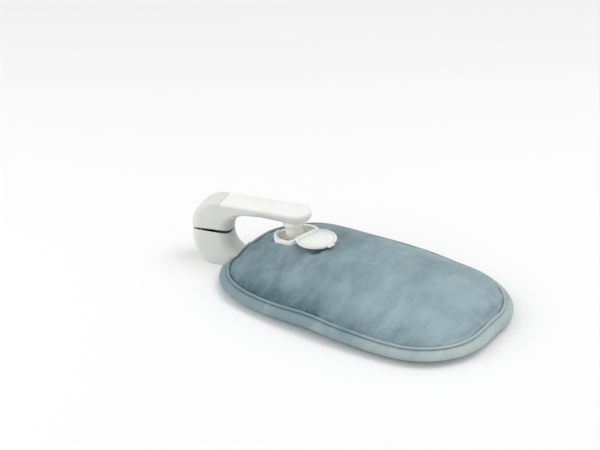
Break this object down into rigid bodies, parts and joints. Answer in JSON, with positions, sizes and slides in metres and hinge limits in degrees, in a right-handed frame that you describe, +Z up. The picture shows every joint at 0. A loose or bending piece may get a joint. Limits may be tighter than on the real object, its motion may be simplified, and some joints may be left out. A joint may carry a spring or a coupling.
{
  "type": "electric heating pad",
  "caption": "Plush water-filled heating pad with a lidded charging port in its top and a C-shaped charging clamp that reaches over its end and plugs into the port.",
  "frame": {"origin": "middle of the cushion's flat underside, on the resting surface", "axes": "+Z up, +X along the cushion away from the clamp, +Y across the cushion"},
  "size_m": [0.4135, 0.236, 0.0858],
  "materials": {
    "plush": "matte",
    "plush_piping": "matte",
    "water": "clear",
    "bag_film": "satin",
    "white_plastic": "satin",
    "grey_plastic": "matte",
    "dark_plastic": "matte",
    "soft_seal": "matte",
    "foot_rubber": "matte",
    "steel": "brushed",
    "contact_brass": "polished",
    "board_green": "matte",
    "relay_case": "satin"
  },
  "bodies": {
    "base": {"cover_top_panel": "plush", "cover_bottom_panel": "plush", "ridge_piping": "plush_piping", "water_bag": "bag_film", "water_fill": "water", "port_cup": "white_plastic", "port_gasket": "soft_seal", "port_clamp_ring": "white_plastic", "port_ring_screws": "steel", "contact_plate": "dark_plastic", "port_contacts": "contact_brass", "heater_cage": "dark_plastic", "heating_element": "steel", "thermostat": "steel", "thermal_fuse": "steel", "lid_hinge_pin": "steel", "clamp_lower_shell": "grey_plastic", "clamp_base_plate": "grey_plastic", "rubber_feet": "foot_rubber", "clamp_hinge_pin": "steel", "closing_spring": "steel", "mains_inlet": "dark_plastic", "inlet_pins": "contact_brass", "cutoff_switch": "dark_plastic", "control_board": "board_green", "power_relay": "relay_case"},
    "clamp_upper": {"clamp_upper_shell": "grey_plastic", "arm_top_plate": "white_plastic", "plug_neck": "white_plastic", "plug_contact_carrier": "dark_plastic", "plug_contact_pins": "contact_brass", "hinge_bushes": "contact_brass", "switch_cam": "grey_plastic"},
    "lid": {"port_lid": "white_plastic", "lid_seal": "soft_seal"},
    "plunger": {"switch_plunger": "white_plastic"},
    "stopper": {"filler_stopper": "soft_seal"}
  },
  "joints": [
    {"name": "arm_hinge", "type": "hinge", "parent": "base", "child": "clamp_upper", "pos_m": [-0.22321, -0.03025, 0.04275], "axis": [0.2588, -0.9659, 0], "range_deg": [0, 15], "stiffness_Nm_per_rad": 1, "springref_deg": -28.65},
    {"name": "lid_hinge", "type": "hinge", "parent": "base", "child": "lid", "pos_m": [-0.08328, -0.00255, 0.05912], "axis": [-0.2079, -0.9781, 0], "range_deg": [0, 68]},
    {"name": "switch_plunger_slide", "type": "slide", "parent": "base", "child": "plunger", "axis": [0, 0, 1], "range_m": [0, 0.00157]},
    {"name": "stopper_pull", "type": "slide", "parent": "base", "child": "stopper", "axis": [-0.1361, 0.0289, 0.9903], "range_m": [0, 0.008]}
  ],
  "couplings": [
    {"joint": "switch_plunger_slide", "follows": "arm_hinge", "m_per_rad": 0.006}
  ]
}
